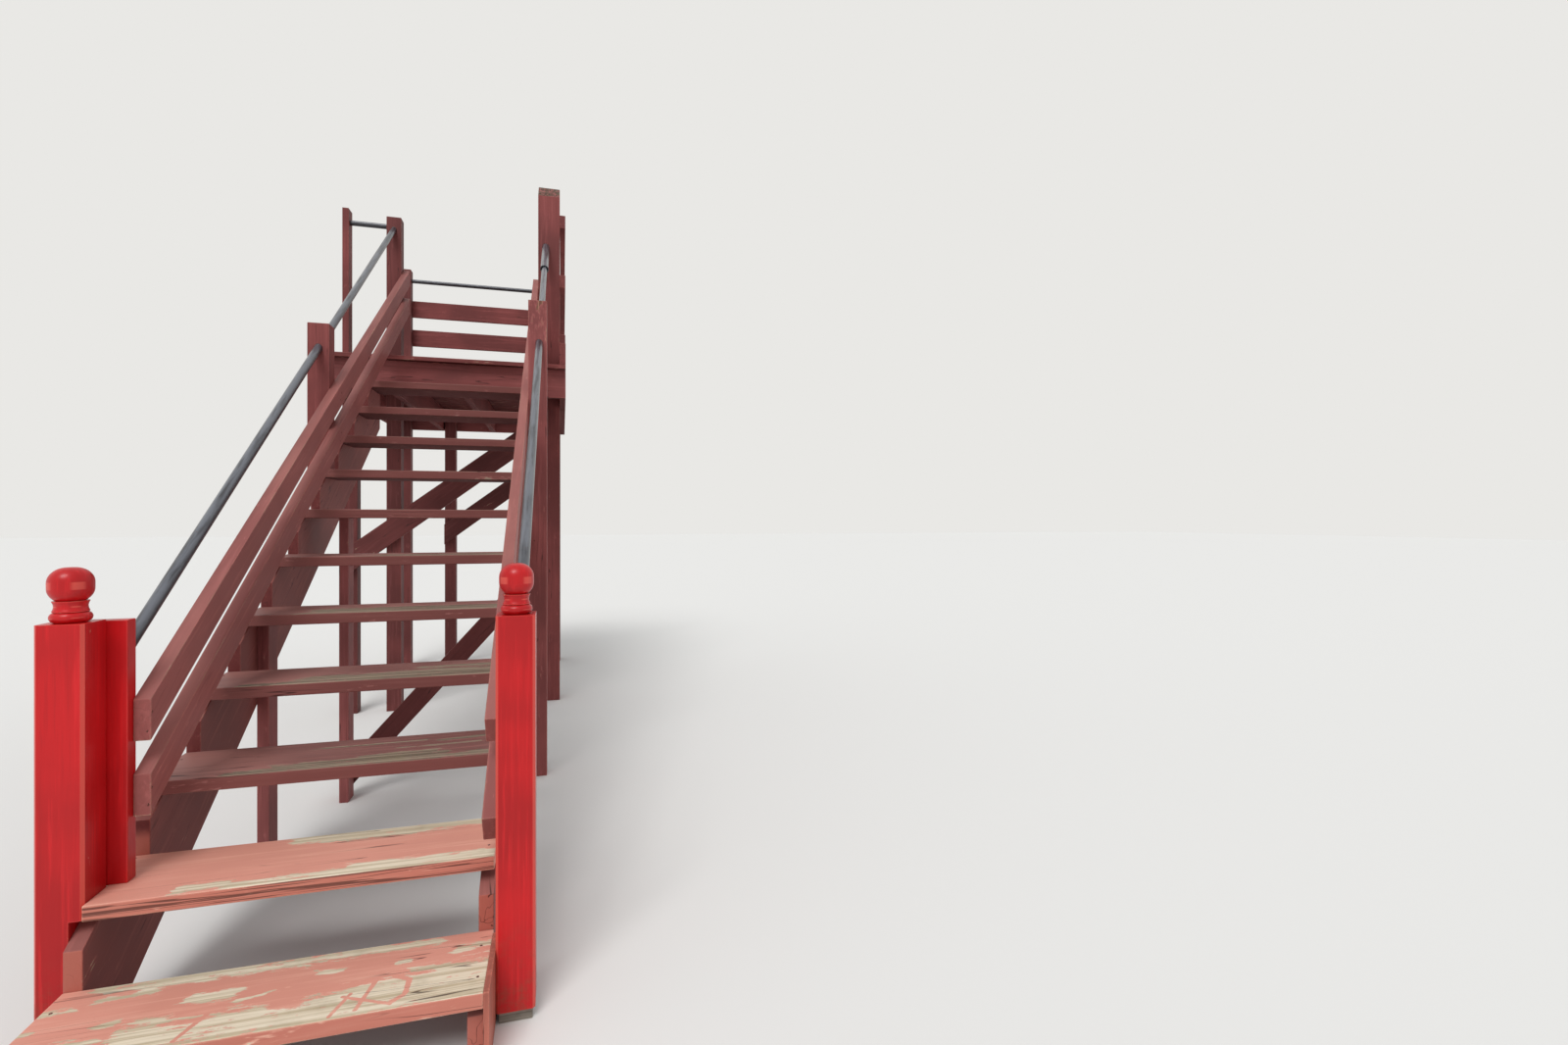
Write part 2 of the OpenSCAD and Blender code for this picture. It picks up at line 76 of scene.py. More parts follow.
# Patterns of wood and paint, in repeats a metre along the grain and across it
BRUSH = (3.0, 60.0, 60.0)
FIBRES = (7.0, 260.0, 260.0)
FLAKES = (7.0, 30.0, 30.0)
CRUMBS = (30.0, 130.0, 130.0)
CRACKS = (1.1, 24.0, 24.0)
GROOVES = (2.2, 110.0, 110.0)
END_RINGS = (70.0, 70.0, 34.0)
WOOD_LINES = (1.6, 85.0, 85.0)
WOOD_FIBRES = (9.0, 420.0, 420.0)
GLOSS_BRUSH = (4.0, 110.0, 110.0)
GLOSS_FIBRES = (5.0, 330.0, 330.0)
GLOSS_NICKS = (24.0, 60.0, 60.0)
PIPE_RUBS = (5.0, 60.0, 60.0)
PATCH_RAGS = (3.0, 14.0, 14.0)
PATCH_FLECKS = (14.0, 60.0, 60.0)

# Depth of each finish's relief, and how far in from an edge it rubs off and takes a painted
# highlight
PAINT_RELIEF = 0.6 * MM
GLOSS_RELIEF = 0.35 * MM
PIPE_RELIEF = 0.25 * MM
BLOCK_RELIEF = 0.8 * MM
NAIL_RELIEF = 0.2 * MM
PAINT_EDGE = 5 * MM
GLOSS_EDGE = 4 * MM

# How worn the old paint is where it fades, and where it lets go
FADES = (0.59, 0.67)
LETS_GO = (0.665, 0.685)

# How much more the posts' tops are worn
POST_WEAR = 0.09
CORNER_WEAR = 0.2

# How much more the halfway post's upper front is worn, and the heights over which that begins
PEELED_WEAR = 0.11
PEELED_FROM = (2.1, 2.3)

# Heights between which the stringers' front cuts turn from salmon, painted sunlight, to dark
# red, painted shade
LOW_FRONTS = (0.42, 0.46)

# Edges of sawn timber: how far they are eased, and how sharp a corner has to be
EASE = 2.2 * MM
TREAD_EASE = 3 * MM
FLAT_ANGLE = math.radians(1.0)
SHARP_ANGLE = math.radians(35.0)
WELD_GAP = 0.02 * MM

# Nail heads: height, dome and number of sides
NAIL_H = 1.4 * MM
NAIL_DOME = 0.35 * MM
NAIL_SIDES = 10


def brace_turn(node):
    """The turn for a board that leans across the stair, from the box it fills."""
    low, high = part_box(node)
    rise, run = high.z - low.z, high.x - low.x
    lean = math.atan2(rise, run)
    # The board's own depth takes up part of the box, more of it the more it leans
    for _ in range(4):
        lean = math.atan2(rise - BRACE_H[node] / math.cos(lean), run)
    return (0.0, lean, 0.0)


def srgb(red, green, blue):
    """A colour written as it looks, from 0 to 255, for a colour socket."""
    def linear(value):
        share = value / 255
        return share / 12.92 if share <= 0.04045 else ((share + 0.055) / 1.055) ** 2.4
    return (linear(red), linear(green), linear(blue), 1.0)


# Colours of wood, dirt and rust under and over the paints, and of painted shade and painted
# highlights
STAINED_WOOD = srgb(134, 122, 92)
DUST = srgb(176, 132, 120)
# Painted highlight on the edges of the old paint
PAINTED_EDGE_HIGHLIGHT = srgb(226, 150, 122)
SHADED_UNDERSIDE = srgb(84, 36, 34)
CRACK = srgb(48, 26, 22)
# Painted highlight on the newels' chamfers and edges
PAINTED_CHAMFER_HIGHLIGHT = srgb(232, 98, 84)
MUD_SPLASH = srgb(126, 84, 66)
GLOSS_NICK = srgb(206, 178, 150)
# Painted highlight on the pipes' tops, partly also paint worn by hands
PIPE_SHEEN_AND_WEAR = srgb(128, 132, 142)
PIPE_RUST = srgb(96, 62, 44)
BLOCK_GRIME = srgb(70, 64, 54)
NAIL_RUST = srgb(70, 44, 34)

# Bare wood, pale and dark, where the paint is gone
SUNNY_WOOD = (238, 226, 202), (196, 180, 150)
TREAD_WOOD = (168, 150, 130), (100, 86, 72)
BOARD_WOOD = (196, 176, 148), (120, 98, 78)
POST_WOOD = (168, 126, 104), (104, 74, 60)
SHADED_WOOD = (150, 112, 94), (90, 62, 52)
PEELED_WOOD = (176, 128, 108), (96, 60, 50)
ROTTEN_WOOD = (118, 94, 78), (58, 44, 38)
BLOCK_WOOD = (158, 152, 140), (96, 90, 80)


def colour(settings, name):
    """A colour property as four numbers."""
    return (*getattr(settings, name), 1.0)


def toned(paint, share, lift=0.0):
    """A paint colour made lighter or darker by a share."""
    return tuple(min(1.0, channel * share + lift) for channel in paint[:3]) + (1.0,)


def swatch(name, description, red, green, blue):
    """A colour property of the paint settings."""
    return bpy.props.FloatVectorProperty(
        name=name, description=description, subtype="COLOR", size=3,
        min=0.0, max=1.0, default=srgb(red, green, blue)[:3])


class Wire:
    """A socket of a shader node that takes part in sums as a number does."""

    def __init__(self, network, socket):
        self.network = network
        self.socket = socket

    def sum(self, operation, *values):
        """One step of arithmetic on this value and others."""
        return self.network.node("Math", {"operation": operation}, dict(enumerate(values)))

    def __add__(self, other):
        return self.sum("ADD", self, other)

    def __sub__(self, other):
        return self.sum("SUBTRACT", self, other)

    def __rsub__(self, other):
        return self.sum("SUBTRACT", other, self)

    def __mul__(self, other):
        return self.sum("MULTIPLY", self, other)

    def __truediv__(self, other):
        return self.sum("DIVIDE", self, other)

    __radd__ = __add__
    __rmul__ = __mul__

    def size(self):
        """The value without its sign."""
        return self.sum("ABSOLUTE", self)

    def most(self, other):
        """The greater of two values."""
        return self.sum("MAXIMUM", self, other)

    def least(self, other):
        """The smaller of two values."""
        return self.sum("MINIMUM", self, other)

    def past(self, low, high):
        """0 below low and 1 above high, with a soft step between."""
        return self.network.node(
            "MapRange", {"interpolation_type": "SMOOTHSTEP", "clamp": True},
            {"Value": self, "From Min": low, "From Max": high})

    def under(self, low, high):
        """1 below low and 0 above high, with a soft step between."""
        return 1 - self.past(low, high)


class Network:
    """The shader nodes of a material or of the room."""

    def __init__(self, owner):
        owner.use_nodes = True
        self.tree = owner.node_tree
        self.tree.nodes.clear()

    def node(self, kind, settings, values, output=0):
        """One node: its settings are set first, then its sockets' values or links."""
        made = self.tree.nodes.new("ShaderNode" + kind)
        for key, value in settings.items():
            setattr(made, key, value)
        for key, value in values.items():
            if isinstance(value, Wire):
                self.tree.links.new(value.socket, made.inputs[key])
            else:
                made.inputs[key].default_value = value
        return Wire(self, made.outputs[output]) if len(made.outputs) else None


class Finish(Network):
    """A material in the making."""

    def __init__(self, name):
        self.material = bpy.data.materials.new(name)
        super().__init__(self.material)
        self.place = self.node("TexCoord", {}, {}, "Object")

    def turned(self, turn, shift=(0.0, 0.0, 0.0)):
        """Object coordinates with the board's grain along X."""
        return self.node("Mapping", {},
                         {"Vector": self.place, "Location": shift, "Rotation": turn})

    def vector(self, operation, first, second, output=0):
        return self.node("VectorMath", {"operation": operation}, {0: first, 1: second}, output)

    def stretched(self, vector, scale):
        return self.vector("MULTIPLY", vector, scale)

    def axis(self, vector, name):
        return self.node("SeparateXYZ", {}, {0: vector}, name)

    def facing(self, name):
        """One axis of the surface's own direction."""
        return self.axis(self.direction(), name)

    def direction(self):
        return self.node("NewGeometry", {}, {}, "Normal")

    def noise(self, vector, scale, detail=3.0, roughness=0.5, distortion=0.0):
        """Cloudy pattern, mostly between 0.3 and 0.7."""
        return self.node("TexNoise", {}, {
            "Vector": vector, "Scale": scale, "Detail": detail,
            "Roughness": roughness, "Distortion": distortion})

    def streaks(self, vector, pattern, detail=3.0, roughness=0.5, distortion=0.0):
        """The same pattern drawn out along the grain."""
        return self.noise(self.stretched(vector, pattern), 1.0, detail, roughness, distortion)

    def mix(self, share, first, second):
        """The first colour where the share is 0, the second where it is 1."""
        return self.node("Mix", {"data_type": "RGBA", "blend_type": "MIX"},
                         {0: share, 6: first, 7: second}, 2)

    def near(self, spot, strokes):
        """1 on the line of the nearest stroke, 0 at its edge and less outside it."""
        best = None
        for start_x, start_y, end_x, end_y, reach in strokes:
            run = Vector((end_x - start_x, end_y - start_y, 0.0))
            offset = self.vector("SUBTRACT", spot, (start_x, start_y, 0.0))
            share = self.vector("DOT_PRODUCT", offset, run / run.length_squared, "Value")
            share = share.most(0.0).least(1.0)
            foot = self.node("VectorMath", {"operation": "SCALE"}, {0: run, "Scale": share})
            inside = 1 - self.vector("DISTANCE", offset, foot, "Value") / reach
            best = best.most(inside) if best else inside
        return best

    def edges(self, radius):
        """Near 1 within that radius of an outer or inner edge."""
        soft = self.node("Bevel", {"samples": 6}, {"Radius": radius})
        same = self.vector("DOT_PRODUCT", soft, self.direction(), "Value")
        return (1 - same).past(0.004, 0.12)

    def shine(self, base, roughness, height, depth, metallic=0.0, coat=0.0,
              coat_roughness=0.1, specular=0.5):
        """The finished material, its relief from a height of 0 to 1 over a depth in metres."""
        relief = self.node("Bump", {}, {"Strength": 1.0, "Distance": depth, "Height": height})
        shader = self.node("BsdfPrincipled", {}, {
            "Base Color": base, "Roughness": roughness, "Metallic": metallic,
            "Coat Weight": coat, "Coat Roughness": coat_roughness,
            "Specular IOR Level": specular, "Normal": relief})
        self.node("OutputMaterial", {}, {"Surface": shader})
        return self.material


def bare_timber(finish, grain, tones):
    """Weathered wood without paint: its colour and its relief."""
    pale, dark = tones
    lines = finish.streaks(grain, WOOD_LINES, 4.0, 0.6, 0.6)
    fibres = finish.streaks(grain, WOOD_FIBRES, 2.0)
    stains = finish.noise(grain, 7.0, 4.0, 0.6)
    tone = (lines.past(0.36, 0.66) * 0.6 + fibres * 0.4).past(0.1, 0.9)
    wood = finish.mix(tone, srgb(*dark), srgb(*pale))
    wood = finish.mix(stains.past(0.54, 0.74) * 0.3, wood, STAINED_WOOD)
    return wood, lines * 0.7 + fibres * 0.3


def painted_timber(name, turn, paint, chips=0.0, edge_wear=0.35, zone=None, wood=BOARD_WOOD,
                   front_shade_paint=None, low_front_sun_paint=None, seed=0.0, ends=None, grooves=0.0,
                   undersides=0.0, depth=0.66, cracking=1.0, edge_highlight_share=0.35):
    """Old brush paint over sawn timber, chipped back to the wood where it wears.

    The turn brings the grain onto X, and the seed moves the pattern. The shares
    run from 0 to 1: how far chips, edge wear, grooves, cracks and the painted
    edge highlights show, and how dark the painted shade on the undersides and
    the paint's deep patches are. The front paints are painted shade on the front
    faces, the low one painted sunlight on the stringers' lowest cuts. A zone adds
    wear of its own, and ends names the axis that meets the end grain.
    """
    finish = Finish(name)
    grain = finish.turned(turn, (seed, seed * 0.7, seed * 1.3))
    broad = finish.noise(grain, 2.2, 3.0)
    brush = finish.streaks(grain, BRUSH, 4.0, 0.6)
    fibres = finish.streaks(grain, FIBRES, 3.0)
    speckle = finish.noise(grain, 240.0, 2.0)
    edge = finish.edges(PAINT_EDGE)
    up = finish.facing("Z")

    light = toned(paint, 1.5, 0.02)
    deep = toned(paint, depth)
    coat = finish.mix(broad.past(0.38, 0.64), deep, paint)
    coat = finish.mix(brush.past(0.5, 0.74) * 0.4, coat, light)
    coat = finish.mix(brush.under(0.3, 0.46) * 0.35, coat, deep)
    coat = finish.mix(speckle.past(0.6, 0.72) * 0.3, coat, deep)
    coat = finish.mix(up.past(0.5, 0.9) * broad.past(0.3, 0.7) * 0.25, coat, DUST)
    # Lighter along the edges, with thin pale orange lines there: painted edge highlights
    coat = finish.mix(edge * (brush * 0.6 + 0.4), coat, light)
    highlight_mask = edge.past(0.3, 0.8) * brush.past(0.36, 0.6) * edge_highlight_share
    coat = finish.mix(highlight_mask, coat, PAINTED_EDGE_HIGHLIGHT)
    # Front faces take a paint of their own, darker than the tops: painted shade; low on the
    # stringers it is salmon, painted sunlight
    front = finish.facing("Y").under(-0.95, -0.85)
    if front_shade_paint:
        cover = front * (0.92 - brush * 0.3)
        if low_front_sun_paint:
            high = finish.axis(finish.place, "Z").past(*LOW_FRONTS)
            coat = finish.mix(cover * (1 - high), coat, low_front_sun_paint)
            cover = cover * high
        coat = finish.mix(cover, coat, front_shade_paint)
    if undersides:
        coat = finish.mix(up.under(-0.9, -0.4) * undersides, coat, SHADED_UNDERSIDE)
    if ends:
        along = finish.facing(ends).size()
        rings = finish.streaks(finish.place, END_RINGS, 3.0, 0.5, 1.5)
        coat = finish.mix(along.past(0.7, 0.9) * rings.past(0.42, 0.62) * 0.55, coat, deep)

    flakes = finish.streaks(grain, FLAKES, 6.0, 0.62)
    crumbs = finish.streaks(grain, CRUMBS, 3.0)
    worn = flakes * 0.62 + crumbs * 0.38 + edge * edge_wear * 0.24 + chips
    if zone:
        worn = worn + zone(finish)
    loss = worn.past(*LETS_GO)
    coat = finish.mix(worn.past(*FADES) * 0.5, coat, light)
    bare, bare_relief = bare_timber(finish, grain, wood)
    cracks = (finish.streaks(grain, CRACKS, 2.0, 0.4) - 0.5).size()
    split = cracks.under(0.002, 0.007) * broad.past(0.46, 0.6) * cracking
    if grooves:
        lines = finish.streaks(grain, GROOVES, 2.0, 0.5, 1.2)
        split = split.most(lines.past(0.55, 0.6) * front * grooves)
    base = finish.mix(loss, coat, bare)
    base = finish.mix(split * 0.75, base, CRACK)
    height = (1 - loss) * (0.5 + fibres * 0.25 + brush * 0.15) + loss * bare_relief * 0.5
    height = height - split * 0.8
    roughness = (0.5 + brush * 0.16) * (1 - loss) + loss * 0.86
    roughness = roughness.most(up.under(-0.9, -0.4))
    return finish.shine(base, roughness, height, PAINT_RELIEF, specular=0.25)


def bare_patches(nosing, strokes, trails=()):
    """Where feet have taken a tread's paint, as a bias for the chips.

    Each stroke has its two ends, across the flight and behind the nosing, and
    its reach, all in metres. Trails are thin runs of paint over the bare wood.
    """
    def zone(finish):
        flat = finish.stretched(finish.place, (1.0, 1.0, 0.0))
        ragged = finish.node("TexNoise", {}, {
            "Vector": finish.stretched(finish.place, PATCH_RAGS), "Scale": 1.0,
            "Detail": 7.0, "Roughness": 0.68}, "Color")
        shift = finish.vector("MULTIPLY_ADD", ragged, (0.16, 0.045, 0.0))
        shift = finish.vector("SUBTRACT", shift, (0.08, 0.0225 + nosing, 0.0))
        fine = finish.streaks(finish.place, PATCH_FLECKS, 8.0, 0.75)
        inside = finish.near(finish.vector("ADD", flat, shift), strokes)
        worn = inside.past(-0.6, 0.7) * 0.42 - 0.09
        worn = worn + (fine - 0.5) * inside.past(-2.4, -0.3) * 1.15
        if trails:
            steady = finish.vector("SUBTRACT", flat, (0.0, nosing, 0.0))
            worn = worn - finish.near(steady, trails).past(0.0, 0.6) * 0.5
        return finish.facing("Z").past(0.4, 0.8) * worn
    return zone


def worn_top(share):
    """More wear where a post's top looks up, so that rain has taken its paint."""
    def zone(finish):
        return finish.facing("Z").past(0.3, 0.6) * share
    return zone


def peeled_front(finish):
    """Paint peeling off the upper front of the halfway post, and off its top."""
    front = finish.facing("Y").under(-0.9, -0.7)
    high = finish.axis(finish.place, "Z").past(*PEELED_FROM)
    return worn_top(POST_WEAR)(finish) + front * high * PEELED_WEAR


def glossy_red(name, turn, paint):
    """Newer gloss paint, brushed along the post."""
    finish = Finish(name)
    grain = finish.turned(turn)
    broad = finish.noise(grain, 3.0, 3.0)
    brush = finish.streaks(grain, GLOSS_BRUSH, 4.0, 0.6)
    fibres = finish.streaks(grain, GLOSS_FIBRES, 2.0)
    edge = finish.edges(GLOSS_EDGE)
    light = toned(paint, 1.25, 0.008)
    deep = toned(paint, 0.66)
    coat = finish.mix(broad.past(0.36, 0.66) * 0.8 + 0.1, deep, paint)
    coat = finish.mix(brush.past(0.5, 0.7) * 0.45, coat, light)
    coat = finish.mix(brush.under(0.34, 0.46) * 0.35, coat, deep)
    # A chamfer looks half along X and half along Y. Chamfers and edges are lighter as a painted
    # highlight
    diagonal = (finish.facing("X") * finish.facing("Y")).size().past(0.35, 0.48)
    chamfer = diagonal * finish.facing("Z").size().under(0.05, 0.1)
    coat = finish.mix(chamfer * 0.55 + edge * 0.4, coat, PAINTED_CHAMFER_HIGHLIGHT)
    near_ground = finish.axis(finish.place, "Z").under(0.02, 0.3)
    splash = near_ground * finish.noise(grain, 26.0, 5.0, 0.65).past(0.42, 0.66)
    coat = finish.mix(splash * 0.5, coat, MUD_SPLASH)
    nicks = (finish.streaks(grain, GLOSS_NICKS, 5.0, 0.6) + edge * 0.07).past(0.735, 0.75)
    coat = finish.mix(nicks, coat, GLOSS_NICK)
    relief = brush * 0.5 + fibres * 0.35 - nicks * 0.5
    roughness = 0.3 + brush * 0.12 + splash * 0.3
    return finish.shine(coat, roughness, relief, GLOSS_RELIEF, coat=0.14 * (1 - splash),
                        coat_roughness=0.16, specular=0.3)


def black_pipe_paint(name, turn, paint):
    """Iron pipe under old black paint, lighter on top: a painted highlight, partly also paint
    worn by hands.
    """
    finish = Finish(name)
    along = finish.turned(turn)
    mottle = finish.noise(along, 38.0, 5.0, 0.65)
    rub = finish.streaks(along, PIPE_RUBS, 4.0)
    coat = finish.mix(mottle.past(0.4, 0.7) * 0.4, paint, toned(paint, 1.9, 0.012))
    # Lighter on top: a painted highlight, partly also paint worn by hands
    highlight_mask = finish.facing("Z").past(0.1, 0.8) * rub.past(0.32, 0.6)
    coat = finish.mix(highlight_mask * 0.6, coat, PIPE_SHEEN_AND_WEAR)
    rust = finish.noise(along, 95.0, 6.0, 0.7).past(0.62, 0.7)
    coat = finish.mix(rust * 0.75, coat, PIPE_RUST)
    roughness = 0.24 + mottle * 0.16 + rust * 0.3
    return finish.shine(coat, roughness, mottle * 0.6 + rust * 0.4, PIPE_RELIEF, metallic=0.3,
                        coat=0.35, coat_roughness=0.12)


def grey_block_wood(name):
    """Bare weathered blocks under the newels."""
    finish = Finish(name)
    grain = finish.turned(GRAIN_X)
    wood, relief = bare_timber(finish, grain, BLOCK_WOOD)
    grime = finish.noise(grain, 30.0, 4.0).past(0.45, 0.7)
    return finish.shine(finish.mix(grime * 0.4, wood, BLOCK_GRIME), 0.88, relief, BLOCK_RELIEF)


def nail_iron(name, paint):
    """Nail heads, painted over and rusting through."""
    finish = Finish(name)
    rust = finish.noise(finish.place, 420.0, 4.0, 0.6)
    coat = finish.mix(rust.past(0.4, 0.6), paint, NAIL_RUST)
    return finish.shine(coat, 0.55 + rust * 0.3, rust, NAIL_RELIEF, metallic=0.2)


def cover(name, material):
    """Gives a solid of the frame its material."""
    solid = NODES[name]
    solid.data.materials.clear()
    solid.data.materials.append(material)
    return solid


def finish_boards(names, material, ease=EASE):
    """Gives boards and posts their material, and eases their edges as sawn timber has them."""
    for name in names:
        board = cover(name, material)
        weld = board.modifiers.new("Joined", "WELD")
        weld.merge_threshold = WELD_GAP
        flat = board.modifiers.new("Flat", "DECIMATE")
        flat.decimate_type = "DISSOLVE"
        flat.angle_limit = FLAT_ANGLE
        if ease:
            soft = board.modifiers.new("Eased", "BEVEL")
            soft.width = ease
            soft.segments = 2
            soft.limit_method = "ANGLE"
            soft.angle_limit = SHARP_ANGLE
            soft.use_clamp_overlap = False


def new_piece(name, shape, material):
    """A finished bmesh as a piece of the stair."""
    mesh = bpy.data.meshes.new(name)
    shape.to_mesh(mesh)
    shape.free()
    mesh.materials.append(material)
    piece = bpy.data.objects.new(name, mesh)
    bpy.context.scene.collection.objects.link(piece)
    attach(piece, "root")


def nail_head(shape, spot, direction, width):
    """One round head with a slight dome, half sunk in the board."""
    out = Vector(direction)
    where = Matrix.Translation(spot) @ out.to_track_quat("Z", "Y").to_matrix().to_4x4()
    made = bmesh.ops.create_cone(
        shape, cap_ends=True, cap_tris=False, segments=NAIL_SIDES, radius1=width / 2,
        radius2=width * 0.42, depth=NAIL_H, matrix=where)
    top = max((face for vertex in made["verts"] for face in vertex.link_faces),
              key=lambda face: face.calc_center_median().dot(out))
    bmesh.ops.inset_individual(shape, faces=[top], thickness=width * 0.12, depth=0.0)
    bmesh.ops.translate(shape, verts=list(top.verts), vec=out * NAIL_DOME)


class StairPaint(bpy.types.PropertyGroup):
    """Colours of the stair's finishes."""

    flight: swatch("Flight paint", "Faded red on the stringers", 150, 84, 79)
    landing: swatch("Landing paint", "Darker red on the landing and its posts", 132, 66, 64)
    lowest_tread: swatch("Lowest treads", "Salmon of the sunlit lowest treads", 240, 166, 146)
    treads: swatch("Treads", "Faded red of the other treads", 152, 100, 94)
    # Painted shade darkens the tread fronts; the lowest fronts take salmon as painted sunlight
    fronts: swatch("Tread fronts", "Darker red on the front faces of the treads", 118, 64, 60)
    low_fronts: swatch("Low fronts", "Salmon on the lowest front faces", 186, 108, 92)
    rails: swatch("Rail paint", "Faded red on the sloping rails", 160, 94, 90)
    newels: swatch("Newels", "Bright gloss red of the newels", 206, 20, 26)
    # Painted shade on the stringers' plumb cuts
    cuts: swatch("Notch cuts", "Dark red on the plumb cuts of the stringers", 88, 28, 28)
    pipes: swatch("Pipes", "Black paint of the handrail pipes", 50, 51, 57)


class StairFixings(bpy.types.PropertyGroup):
    """Sizes of the fixings."""

    nail_width: bpy.props.FloatProperty(
        name="Nail head", description="Diameter of the nail heads", default=8 * MM,
        min=4 * MM, max=14 * MM, subtype="DISTANCE", unit="LENGTH")


class StairStage(bpy.types.PropertyGroup):
    """The floor and the light."""

    floor: swatch("Floor", "Colour of the plain floor", 236, 235, 232)
    room: swatch("Room", "Colour seen behind the stair", 233, 232, 229)
    key: bpy.props.FloatProperty(
        name="Key light", description="Strength of the soft sun", default=1.6,
        min=0.0, max=10.0)
    fill: bpy.props.FloatProperty(
        name="Fill light", description="Strength of the light from all round", default=0.6,
        min=0.0, max=3.0)


class FIRESTAIR_OT_stage(bpy.types.Operator):
    """Plain floor, soft light and the camera at the foot of the stair"""

    bl_idname = "fire_stair.stage"
    bl_label = "Stage"

    FLOOR_REACH = 60.0
    # Where the key light comes from, how soft it is, and the tint of the room's light
    KEY_FROM = (-0.3, -0.74, 1.0)
    KEY_ANGLE = math.radians(28.0)
    ROOM_TINT = (0.97, 0.985, 1.0, 1.0)
    # The photo's viewpoint and lens: level, turned a little to the right
    CAMERA_PLACE = (0.683, -4.5145, 1.286)
    CAMERA_TURN = (math.radians(90.0), 0.0, math.radians(-16.8))
    LENS = {"sensor_width": 36.0, "lens": 16.875, "shift_y": -0.0019,
            "clip_start": 0.05, "clip_end": 300.0}

    def execute(self, context):
        stage = context.scene.fire_stair_stage
        self.add_floor(context, stage)
        self.add_light(context, stage)
        self.add_camera(context)
        context.scene.view_settings.view_transform = "Standard"
        return {"FINISHED"}

    def add_floor(self, context, stage):
        shape = bmesh.new()
        bmesh.ops.create_grid(shape, x_segments=2, y_segments=2, size=self.FLOOR_REACH)
        mesh = bpy.data.meshes.new("floor")
        shape.to_mesh(mesh)
        shape.free()
        ground = bpy.data.objects.new("floor", mesh)
        context.scene.collection.objects.link(ground)
        finish = Finish("plain floor")
        mesh.materials.append(finish.shine(
            colour(stage, "floor"), 0.9, finish.noise(finish.place, 1.3, 3.0), 0.01 * MM,
            specular=0.1))

    def add_light(self, context, stage):
        lamp = bpy.data.lights.new("key", "SUN")
        lamp.energy = stage.key
        lamp.angle = self.KEY_ANGLE
        key = bpy.data.objects.new("key", lamp)
        key.rotation_euler = Vector(self.KEY_FROM).to_track_quat("Z", "Y").to_euler()
        context.scene.collection.objects.link(key)

        world = bpy.data.worlds.new("soft room")
        context.scene.world = world
        room = Network(world)
        light = room.node("Background", {}, {"Color": self.ROOM_TINT, "Strength": stage.fill})
        seen = room.node("Background", {}, {"Color": colour(stage, "room")})
        looked_at, mirrored, through = (
            room.node("LightPath", {}, {}, f"Is {ray} Ray")
            for ray in ("Camera", "Glossy", "Transmission"))
        share = looked_at.most(mirrored).most(through)
        both = room.node("MixShader", {}, {0: share, 1: light, 2: seen})
        room.node("OutputWorld", {}, {"Surface": both})

    def add_camera(self, context):
        lens = bpy.data.cameras.new("camera")
        for name, value in self.LENS.items():
            setattr(lens, name, value)
        camera = bpy.data.objects.new("camera", lens)
        camera.location = self.CAMERA_PLACE
        camera.rotation_euler = self.CAMERA_TURN
        context.scene.collection.objects.link(camera)
        context.scene.camera = camera


